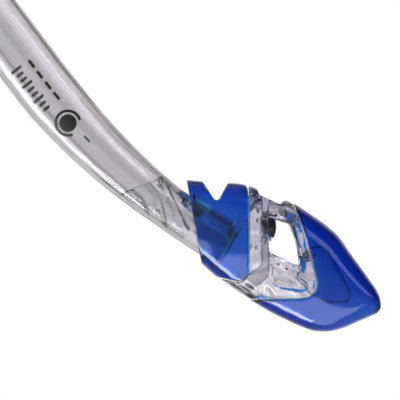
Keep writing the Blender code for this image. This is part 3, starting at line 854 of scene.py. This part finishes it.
def top_form(inset, low=-20.0):
    high = TOP_STATIONS[-1][0] - inset
    return solid_loft("form", [top_ring(w, inset) for w in spread(low, high, 72)], TOP)


def side_plate(outline, low=-30.0, high=30.0, corner=0.0):
    return plate("side", rounded(outline, corner) if corner else outline, low, high, TOP)


def make_guard():
    guard = cut(top_form(0.0), top_form(GUARD_WALL, -24.0))
    common(guard, side_plate(GUARD_OUTLINE, corner=1.4))
    soften(guard, 7)
    guard.name = "splash_guard_shell"
    piece(guard, BLUE, "barrel", "blue_plastic", "splash_guard")


def make_cap():
    cap = cut(top_form(0.0), top_form(CAP_WALL, -24.0))
    common(cap, side_plate([*SEAM, (30.0, 120.0), (-46.0, 120.0)]))
    soften(cap, 7)
    cap.name = "top_cap_shell"
    piece(cap, BLUE, "barrel", "blue_plastic", "top_cap")


def seat_point(along, above):
    u = SEAT_CENTRE[0] + along * math.cos(SEAT_TILT) - above * math.sin(SEAT_TILT)
    return u, SEAT_CENTRE[1] + along * math.sin(SEAT_TILT) + above * math.cos(SEAT_TILT)


def flared_window(side):
    """The window's wall on one side, which opens out towards the outer face."""
    rings = []
    for depths, outline in (((15.0, 16.6), WINDOW), ((20.4, 24.0), WINDOW_MOUTH)):
        for depth in depths:
            rings.append([(u, side * depth, w) for u, w in outline])
    return solid_loft("window_flare", rings[::side], TOP)


def thumb_recess():
    """A shallow hollow in both side walls beside the keel, with a raised drop left in each."""
    return cut(side_plate(RECESS, corner=2.0), top_form(1.3), side_plate(DROP, corner=2.0))


def socket_sleeve(inset):
    """The barrel's form along the socket, drawn in or let out by the inset."""
    lengths = spread(BARREL_TOP - SOCKET_DEPTH, BARREL_TOP + GAP, 16)
    return solid_loft("sleeve", [barrel_ring(s, inset) for s in lengths])


def airway():
    """What is hollow between the seat wall and the barrel: chamber, socket and throat."""
    chamber = top_form(GUARD_WALL + GAP + FRAME_WALL)
    under_seat = [seat_point(-10.5, -SEAT_WALL), seat_point(20.0, -SEAT_WALL)]
    common(chamber, side_plate([*under_seat, *CHAMBER], corner=1.6))
    lengths = spread(BARREL_TOP - 3.0, BARREL_TOP + 4.0, 3)
    throat = solid_loft("throat", [barrel_ring(s, WALL + 0.5) for s in lengths])
    return chamber, socket_sleeve(-GAP), throat


def make_socket():
    """The frame's root, which grips the barrel under the guard."""
    root = common(top_form(GUARD_WALL + GAP), side_plate(FRAME_ROOT, corner=1.0))
    grip = join(socket_sleeve(-GAP - SOCKET_WALL), side_plate(SHOULDER, corner=1.0))
    common(root, grip)
    cut(root, side_plate(FRAME_OUTLINE, corner=0.9))
    cut(root, *airway())
    soften(root, 3)
    root.name = "frame_socket"
    piece(root, CLEAR_SOCKET, "barrel", "clear_plastic")


def seat_lip():
    """The raised ring round the mouth, which the dome seal closes on."""
    inner, outer = MOUTH_RADIUS, MOUTH_RADIUS + 0.9
    return turned("seat_lip", [(inner, -1.0), (outer, -1.0), (outer, 0.1), (inner, 0.1)], SEAT)


def make_frame():
    body = common(top_form(0.4), side_plate(FRAME_OUTLINE, corner=0.9))
    room = top_form(FRAME_WALL + 0.4)
    common(room, side_plate([seat_point(-12.0, 0.0), *VALVE_ROOM], corner=1.0))
    cut(
        body,
        room,
        *airway(),
        side_plate(WINDOW, corner=1.6),
        flared_window(-1),
        flared_window(1),
        thumb_recess(),
        cylinder("mouth", MOUTH_RADIUS, -6.0, 4.0, SEAT),
    )
    join(body, seat_lip())
    cut(body, cross_rod("pin", PIVOT, PIN_RADIUS + GAP, -30.0, 30.0, TOP))
    soften(body, 5)
    body.name = "clear_frame_body"
    piece(body, CLEAR_FRAME, "barrel", "clear_plastic", "dry_top_frame")


def make_float():
    shell = plate("float_shell", rounded(FLOAT_OUTLINE, 1.6), -9.0, 9.0, TOP)
    cut(shell, side_plate(FLOAT_NOTCH, -3.3, 3.3))
    soften(shell, 5)
    hollow = shell.modifiers.new("hollow", "SOLIDIFY")
    hollow.thickness = 1.1 * MM
    hollow.offset = -1.0
    settle(shell)
    piece(shell, CLEAR_FLOAT, "float_valve", "float_foam", "float_body")


def make_lever():
    foot = [seat_point(-8.8, 1.2), seat_point(-7.0, 1.2), seat_point(-7.2, 2.2)]
    outline = [*foot, *LEVER_INNER, *LEVER_OUTER]
    lever = plate("lever_arm", rounded(outline, 0.5), -3.0, 3.0, TOP)
    ring = turned("seal_ring", [(6.3, 1.2), (8.4, 1.2), (8.4, 2.2), (6.3, 2.2)], SEAT)
    join(lever, ring, cross_rod("hub", PIVOT, 2.4, -8.0, 8.0, TOP))
    cut(lever, cross_rod("bore", PIVOT, PIN_RADIUS + GAP, -20.0, 20.0, TOP))
    soften(lever, 3, 0.25)
    piece(lever, CLEAR_FRAME, "float_valve", "clear_plastic", "float_lever")


def make_pin():
    half, bevel = PIN_LENGTH / 2, 0.3
    profile = [
        (0.0, -half), (PIN_RADIUS - bevel, -half), (PIN_RADIUS, bevel - half),
        (PIN_RADIUS, half - bevel), (PIN_RADIUS - bevel, half), (0.0, half),
    ]
    along_y = Matrix.Rotation(math.pi / 2, 4, "X")
    at_pivot = TOP @ placed((PIVOT[0], 0.0, PIVOT[1]), 0.0) @ along_y
    pin = turned("pivot_pin", profile, at_pivot, 40)
    piece(pin, STEEL, "barrel", "pin_steel", "hinge_pin", sharp=35)


def make_seal():
    """The dome seal: a plug below the lever's ring, a groove that holds the ring, and a dome."""
    plug = [(0.0, -1.8), (4.1, -1.8), (4.5, -1.5), (5.6, 0.0)]
    flange = [(7.6, 0.32), (7.8, 0.5), (7.7, 0.85)]
    groove = [(6.05, 0.9), (6.0, 1.0), (6.0, 2.4), (6.1, 2.5), (6.7, 2.55)]
    turns = [math.radians(10 * step) for step in range(10)]
    dome = [(6.8 * math.cos(turn), 2.75 + 2.35 * math.sin(turn)) for turn in turns]
    seal = turned("dome_seal", [*plug, *flange, *groove, *dome], SEAT)
    piece(seal, RUBBER, "float_valve", "black_rubber", "valve_seal", sharp=50)


# --- keeper -------------------------------------------------------------------------------


def make_keeper():
    half = KEEPER_HEIGHT / 2
    levels = [(-half, 0.5), (-half + 0.5, 0.0), (half - 0.5, 0.0), (half, 0.5)]
    rings = []
    for sign, extra in ((1, KEEPER_GAP + KEEPER_WALL), (-1, KEEPER_GAP)):
        for z, inset in levels[::sign]:
            grow = extra - sign * inset
            section = oval(BARREL_DEPTH / 2 + grow, BARREL_WIDTH / 2 + grow, 96)
            rings.append([(x, y, z) for x, y in section])
    clip = ring_loft("strap_keeper", rings)
    join(clip, block("pad", (-9.0, KEEPER_BACK - 1.2, -8.0), (9.0, KEEPER_BACK + 1.6, 8.0)))
    cut(clip, block("mouth", (-8.0, -20.0, -30.0), (8.0, -6.0, 30.0)))
    soften(clip, 6)
    piece(clip, BLUE, "keeper", "blue_plastic", "keeper_clip")


def make_buckle():
    near = KEEPER_BACK + 1.6 + GAP
    slot_near = near + 2.2
    slot_far = slot_near + 4.6
    buckle = block("buckle_body", (-12.0, near, -16.0), (12.0, slot_far + 2.4, 16.0))
    cut(buckle, block("slot", (-30.0, slot_near, -13.0), (30.0, slot_far, 13.0)))
    grips = []
    for index in (0, 1, 3, 4):
        shift = 4.2 * index
        low, high = (-9.0 + shift, slot_far + 1.9, -11.0), (-7.8 + shift, slot_far + 3.0, 11.0)
        grips.append(block("grip", low, high))
    cut(buckle, *grips)
    soften(buckle, 5)
    piece(buckle, BLACK, "keeper", "black_plastic", "strap_buckle")


# --- hose and mouth end -------------------------------------------------------------------


def make_collar():
    """The collar under the barrel: an oval cup above, which turns into a round spigot below."""

    def section(z, extra, round_share=0.0, radius=0.0):
        x = (BARREL_DEPTH / 2 + extra) * (1 - round_share) + radius * round_share
        y = (BARREL_WIDTH / 2 + extra) * (1 - round_share) + radius * round_share
        return [(px, py, z) for px, py in oval(x, y, 96)]

    top = BARREL_BOTTOM + COLLAR_HEIGHT
    floor = BARREL_BOTTOM - GAP
    end = HOSE_TOP - HOSE_CUFF + 1.0
    oval_part = [
        (top, 1.7), (top - 0.5, 2.2), (top - 3.0, 2.3), (top - 3.5, 1.8), (top - 4.5, 1.8),
        (top - 9.0, 1.8), (BARREL_BOTTOM, 1.8),
    ]
    round_part = [
        (HOSE_TOP + 1.5, 14.6), (HOSE_TOP + 1.0, 14.1), (HOSE_TOP + 1.0, SPIGOT_RADIUS),
        (end + 0.5, SPIGOT_RADIUS), (end, SPIGOT_RADIUS - 0.5),
    ]
    outer = [section(z, extra) for z, extra in oval_part]
    for t in spread(0.0, 1.0, 9):
        outer.append(section(BARREL_BOTTOM - 4.0 - 6.0 * t, 2.4, ease(t), 14.8))
    outer += [section(z, 0.0, 1.0, radius) for z, radius in round_part]
    cup = [(top, 0.5), (top - 0.4, GAP), (floor, GAP), (floor, -WALL)]
    inner = [section(z, extra) for z, extra in cup]
    for t in spread(0.0, 1.0, 7)[1:]:
        inner.append(section(floor - 11.7 * t, -WALL, ease(t), COLLAR_BORE))
    inner.append(section(end, 0.0, 1.0, COLLAR_BORE))
    collar = ring_loft("end_collar", outer + inner[::-1])
    piece(collar, BLUE, "barrel", "blue_plastic", "barrel_end_collar", sharp=35)


def hose_ring(length, radius, sides=72):
    centre, angle = hose_centre(length)
    across = Vector((math.cos(angle), 0.0, -math.sin(angle)))
    return [centre + across * x + Vector((0.0, y, 0.0)) for x, y in oval(radius, radius, sides)]


def make_hose():
    bend = HOSE_LENGTH - 2 * HOSE_CUFF
    start = HOSE_LENGTH - HOSE_CUFF
    lip = (HOSE_BORE + 1.4, HOSE_BORE + 0.3)
    cuff = (HOSE_BORE + HOSE_WALL, HOSE_BORE)
    middle = HOSE_BORE + 0.9 + 0.42
    rows = [(0.0, *lip), (0.4, *cuff)]
    rows += [(s, *cuff) for s in spread(2.0, HOSE_CUFF - 0.5, 6)]
    for t in spread(0.0, 1.0, RIBS * 14 + 1):
        wave = -math.cos(2 * math.pi * RIBS * t)
        swell = 1.3 * min(1.0, 12 * t, 12 * (1 - t) + 0.25)
        crest = middle + swell * power(wave, 0.8)
        rows.append((HOSE_CUFF + bend * t, crest + 0.9, crest - 0.75))
    rows += [(s, *cuff) for s in spread(start + 0.6, HOSE_LENGTH - 0.4, 6)]
    rows.append((HOSE_LENGTH, *lip))
    outer = [hose_ring(s, out) for s, out, _ in rows]
    inner = [hose_ring(s, into) for s, _, into in rows]
    hose = ring_loft("ribbed_hose", outer + inner[::-1])
    piece(hose, SILICONE, None, "silicone", "flex_hose")
    low = tuple(hose_centre(HOSE_CUFF)[0] * MM)
    high = tuple(hose_centre(HOSE_LENGTH - HOSE_CUFF)[0] * MM)
    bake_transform(hose)


def make_bands():
    """The two bands that hold the hose's cuffs, each with a groove round its middle."""
    inside = HOSE_BORE + HOSE_WALL + GAP
    outside = inside + 1.9
    groove = outside - 0.35
    loop = [
        (0.0, inside), (0.0, outside - 0.5), (0.5, outside), (3.2, outside), (3.5, groove),
        (4.5, groove), (4.8, outside), (7.5, outside), (8.0, outside - 0.5), (8.0, inside),
    ]
    bands = (
        ("band_upper", 2.0, "hose", "hose_band_upper"),
        ("band_lower", HOSE_LENGTH - 10.0, "mouth_end", "hose_band_lower"),
    )
    for name, at, body, node in bands:
        band = ring_loft(name, [hose_ring(at + along, radius) for along, radius in loop])
        piece(band, BLUE, body, "blue_plastic", node, sharp=35)


def make_housing():
    wide, inside = HOUSING_RADIUS, HOUSING_RADIUS - HOUSING_WALL
    profile = [
        (HOUSING_BORE, HOSE_CUFF - 1.0), (SPIGOT_RADIUS, HOSE_CUFF - 1.0),
        (SPIGOT_RADIUS, -GAP), (wide - 0.8, -1.6), (wide, -3.0), (wide, HOUSING_BOTTOM),
        (inside, HOUSING_BOTTOM), (inside, -5.0), (HOUSING_BORE, -1.5),
    ]
    housing = turned("housing_body", profile, MOUTH)
    wall = [(OUTLET_BORE, 8.0), (OUTLET_RADIUS, 8.0), (OUTLET_RADIUS, 35.0), (OUTLET_BORE, 35.0)]
    branch = turned("branch", wall, OUTLET)
    cut(branch, cylinder("keep", inside, -38.0, -4.0, MOUTH))
    join(housing, branch)
    cut(housing, cylinder("bore", OUTLET_BORE, 4.0, 50.0, OUTLET))
    soften(housing, 4)
    piece(housing, CLEAR_HOUSING, "mouth_end", "clear_plastic", "purge_housing")


def make_purge_seat():
    """The ring the diaphragm closes on, with a cross and a hub that hold its stem."""
    top, low = PURGE_SEAT_TOP, PURGE_SEAT_TOP - PURGE_SEAT_WALL
    rim = HOUSING_RADIUS - HOUSING_WALL - GAP
    profile = [
        (8.6, low), (rim - 0.9, low), (rim - 0.9, HOUSING_BOTTOM), (rim, HOUSING_BOTTOM),
        (rim, top), (8.6, top),
    ]
    seat = join(
        turned("valve_spider", profile, MOUTH),
        block("bar_x", (-9.4, -1.1, top - 1.6), (9.4, 1.1, top - 0.1), MOUTH),
        block("bar_y", (-1.1, -9.4, top - 1.7), (1.1, 9.4, top - 0.2), MOUTH),
        cylinder("hub", 3.4, top - 1.75, top - 0.05, MOUTH),
    )
    cut(seat, cylinder("hub_bore", 1.9, top - 9.0, top + 9.0, MOUTH))
    soften(seat, 3, 0.3)
    piece(seat, CLEAR_HOUSING, "mouth_end", "clear_plastic", "purge_seat")


def make_diaphragm():
    """A disc under the seat, and a stem through the hub with a knob on it above."""
    disc = PURGE_SEAT_TOP - PURGE_SEAT_WALL - GAP
    knob = PURGE_SEAT_TOP + PURGE_TRAVEL
    profile = [
        (0.0, disc - 0.9), (9.0, disc - 0.85), (11.2, disc - 0.6), (11.4, disc - 0.3),
        (11.3, disc), (2.0, disc), (1.5, disc + 0.4), (1.5, knob + 0.3), (2.6, knob + 0.5),
        (2.7, knob + 0.9), (2.2, knob + 2.2), (1.4, knob + 2.6), (0.0, knob + 2.6),
    ]
    flap = turned("purge_flap", profile, MOUTH)
    piece(flap, SILICONE, "diaphragm", "silicone", "purge_diaphragm", sharp=50)


def make_purge_cover():
    """The cap under the housing, with slots through its face and grips round its skirt."""
    radius, bottom = HOUSING_RADIUS, HOUSING_BOTTOM
    skirt = radius + GAP
    profile = [
        (0.0, bottom - 4.6), (skirt - 1.4, bottom - 4.6), (skirt + 0.6, bottom - 3.9),
        (skirt + 1.8, bottom - 2.2), (skirt + 1.8, bottom + 5.0), (skirt, bottom + 5.0),
        (skirt, bottom - GAP), (radius - 3.0, bottom - GAP), (radius - 3.0, bottom - 2.6),
        (0.0, bottom - 2.6),
    ]
    cover = turned("purge_cap", profile, MOUTH)
    slots = []
    for index in range(-2, 3):
        middle = index * 4.6
        reach = math.sqrt((radius - 3.4) ** 2 - middle**2)
        low, high = (-reach, middle - 1.3, bottom - 9.0), (reach, middle + 1.3, bottom - 1.4)
        slots.append(block("slot", low, high, MOUTH))
    for index in range(16):
        turn = Matrix.Rotation(2 * math.pi * index / 16, 4, "Z")
        low, high = (skirt + 1.35, -0.8, bottom - 1.2), (skirt + 4.0, 0.8, bottom + 8.0)
        slots.append(block("grip", low, high, MOUTH @ turn))
    cut(cover, *slots)
    soften(cover, 4)
    piece(cover, BLUE, "mouth_end", "blue_plastic", "purge_cover")


def make_mouthpiece():
    # distance from the housing's middle, half height and half width outside, the same inside
    rows = [
        (20.4, 13.6, 13.6, 11.7, 11.7),
        (22.0, 13.6, 13.6, 11.7, 11.7),
        (35.4, 13.6, 13.6, 11.7, 11.7),
        (35.8, 13.5, 13.7, 9.3, 9.9),
        (39.0, 12.2, 14.8, 8.6, 11.4),
        (43.0, 10.2, 16.6, 7.2, 13.9),
        (47.0, 8.9, 17.4, 6.3, 14.8),
        (56.0, 8.2, 17.0, 5.6, 14.4),
    ]
    outer, inner = [], []
    for z, outer_tall, outer_wide, inner_tall, inner_wide in rows:
        outer.append([(x, y, z) for x, y in oval(outer_tall, outer_wide)])
        inner.append([(x, y, z) for x, y in oval(inner_tall, inner_wide)])
    mouthpiece = ring_loft("bite_piece", outer + inner[::-1], OUTLET)
    rings = []
    levels = [(47.0, 12.0, 27.0), (48.0, 13.3, 28.7), (49.2, 13.5, 28.9), (50.2, 13.0, 28.4)]
    for z, tall, wide in levels:
        section = oval(tall, wide, 96, 2.6)
        rings.append([(x, y, z - SHIELD_CURVE * y * y) for x, y in section])
    passage = [[(x, y, z) for x, y in oval(5.8, 14.6)] for z in (30.0, 60.0)]
    shield = cut(solid_loft("shield", rings, OUTLET), solid_loft("passage", passage, OUTLET))
    tabs = []
    for side in (-1, 1):
        low, high = sorted((side * 9.0, side * 21.0))
        tabs.append(block("stem", (-1.6, low, 53.5), (1.6, high, 66.0), OUTLET))
        tabs.append(block("ridge", (-4.3, low, 64.0), (4.3, high, 67.4), OUTLET))
    join(mouthpiece, shield, *tabs)
    soften(mouthpiece, 7, 0.55)
    piece(mouthpiece, SILICONE, "mouth_end", "silicone", "mouthpiece")


def make_tie():
    loop = [(13.9, 24.0), (14.8, 24.0), (15.0, 24.3), (15.0, 28.2), (14.8, 28.5), (13.9, 28.5)]
    tie = turned("cable_tie", loop, OUTLET, 96)
    join(tie, block("head", (14.4, -3.4, 23.4), (18.0, 3.4, 29.1), OUTLET))
    piece(tie, BLACK, "mouth_end", "black_plastic", "mouthpiece_tie", sharp=35)


# --- studio -------------------------------------------------------------------------------

# how bright the surroundings are, as the light that reaches the object sees them
FRONT_LIGHT = 0.06
BACK_LIGHT = 0.62
TOP_LIGHT = 0.25
LEFT_LIGHT, RIGHT_LIGHT = 0.06, 0.42
LIGHT_TARGET = (-0.03, 0.0, 0.17)
FLOOR_RADIUS = 1.3
CAMERA_PLACE = (-0.0311, -1.5, 0.1846)
CAMERA_ROLL = math.radians(143.0)
SENSOR_WIDTH = 36.0
VIEW_WIDTH = 0.220


def softbox(name, location, size, watts, colour=(1.0, 1.0, 1.0)):
    """A lamp that faces the middle of the snorkel's upper half."""
    light = bpy.data.lights.new(name, "AREA")
    light.shape = "RECTANGLE"
    light.size, light.size_y = size
    light.energy = watts
    light.color = colour
    obj = bpy.data.objects.new(name, light)
    bpy.context.scene.collection.objects.link(obj)
    obj.location = location
    aim = Vector(LIGHT_TARGET) - Vector(location)
    obj.rotation_euler = aim.to_track_quat("-Z", "Y").to_euler()


def make_floor():
    """A paper floor; the light that reaches the plastic sees it darker, as a black card on it."""
    under = (0.0, 0.0, CAD_BOX[0][2] - 0.001)
    bpy.ops.mesh.primitive_circle_add(
        vertices=128, radius=FLOOR_RADIUS, fill_type="NGON", location=under
    )
    floor = bpy.context.object
    floor.name = "floor"
    made = Shader("floor_paper", Metallic=0.0)
    made.colours(made.noise(7.0, 4.0), (0.8, 0.8, 0.81), (0.84, 0.84, 0.85))
    made.roughness(made.noise(60.0, 4.0), 0.7, 0.85)
    card = made.node("BsdfDiffuse", "BSDF", Color=(0.34, 0.34, 0.35, 1.0))
    shader = made.seen_or_not(card, made.shader.outputs["BSDF"])
    made.links.new(shader, made.output.inputs["Surface"])
    floor.data.materials.append(made.material)


def make_world():
    """White behind the object, and for the light that reaches it, soft walls of uneven light."""
    world = bpy.data.worlds.new("studio")
    bpy.context.scene.world = world
    world.use_nodes = True
    made = Nodes(world.node_tree)
    x, y, z = made.parts(made.node("TexCoord", "Generated"))
    front = made.ranged(y, 0.0, FRONT_LIGHT, -0.45, -0.98, "SMOOTHSTEP")
    behind = made.ranged(y, 0.0, BACK_LIGHT, 0.45, 0.98, "SMOOTHSTEP")
    above = made.ranged(z, 0.0, TOP_LIGHT, 0.2, 0.9, "SMOOTHSTEP")
    beside = made.ranged(x, LEFT_LIGHT, RIGHT_LIGHT, -0.5, 0.35, "SMOOTHSTEP")
    total = made.math("ADD", made.math("ADD", front, behind), made.math("ADD", above, beside))
    sky = made.nodes["Background"]
    made.give(sky.inputs["Color"], (1.0, 0.985, 1.0, 1.0))
    made.give(sky.inputs["Strength"], total)
    white = made.node("Background", "Background", Color=(1.0, 1.0, 1.0, 1.0), Strength=1.0)
    shader = made.seen_or_not(sky.outputs["Background"], white)
    made.links.new(shader, made.nodes["World Output"].inputs["Surface"])


def make_lights():
    softbox("key", (1.06, -0.28, 0.4), (0.26, 1.3), 14.0)
    softbox("front", (0.62, -0.63, 0.92), (1.0, 1.1), 10.0)
    softbox("fill", (-0.8, -0.75, 0.25), (0.34, 1.2), 2.5, (0.97, 0.98, 1.0))


def make_camera():
    """The camera looks along +Y, rolled so that the dry top points down to the right."""
    camera = bpy.data.cameras.new("camera")
    camera.sensor_width = SENSOR_WIDTH
    camera.lens = SENSOR_WIDTH * -CAMERA_PLACE[1] / VIEW_WIDTH
    obj = bpy.data.objects.new("camera", camera)
    bpy.context.scene.collection.objects.link(obj)
    right = Vector((math.cos(CAMERA_ROLL), 0.0, math.sin(CAMERA_ROLL)))
    up = Vector((-math.sin(CAMERA_ROLL), 0.0, math.cos(CAMERA_ROLL)))
    back = Vector((0.0, -1.0, 0.0))
    turn = Matrix((right, up, back)).transposed().to_4x4()
    obj.matrix_world = Matrix.Translation(CAMERA_PLACE) @ turn
    bpy.context.scene.camera = obj


make_camera()
make_tube()
make_sleeve()
make_print()
make_guard()
make_cap()
make_frame()
make_socket()
make_float()
make_lever()
make_pin()
make_seal()
make_keeper()
make_buckle()
make_collar()
make_hose()
make_bands()
make_housing()
make_purge_seat()
make_diaphragm()
make_purge_cover()
make_mouthpiece()
make_tie()
make_floor()
make_world()
make_lights()
bpy.context.scene.view_settings.view_transform = "Standard"
